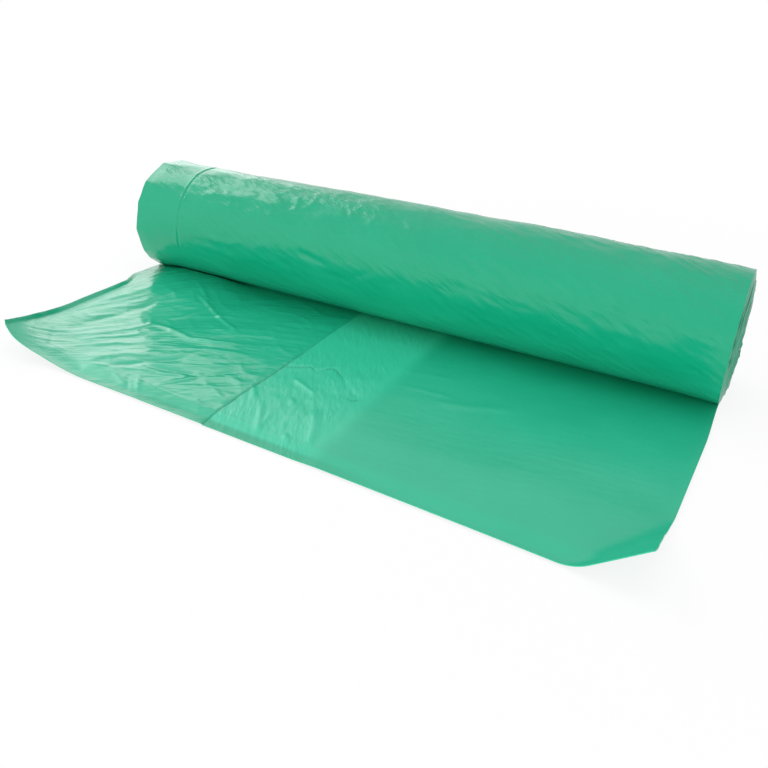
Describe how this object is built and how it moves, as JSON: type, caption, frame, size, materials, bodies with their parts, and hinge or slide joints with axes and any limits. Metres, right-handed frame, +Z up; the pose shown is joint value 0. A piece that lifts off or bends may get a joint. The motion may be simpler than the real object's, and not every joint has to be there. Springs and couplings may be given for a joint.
{
  "type": "bin bag roll",
  "caption": "Coreless roll of folded green bin bags lying on its side, its outer end pulled out flat with two curled corners.",
  "frame": {"origin": "middle of the flat spot under the roll, on the surface that it lies on", "axes": "+X along the roll, towards its right end; the loose end lies towards -Y; +Z up"},
  "size_m": [0.3328, 0.2029, 0.0632],
  "materials": {
    "film": "satin green polythene film, with fine wrinkles"
  },
  "bodies": {
    "root": {"bag_roll": "film"}
  },
  "joints": []
}
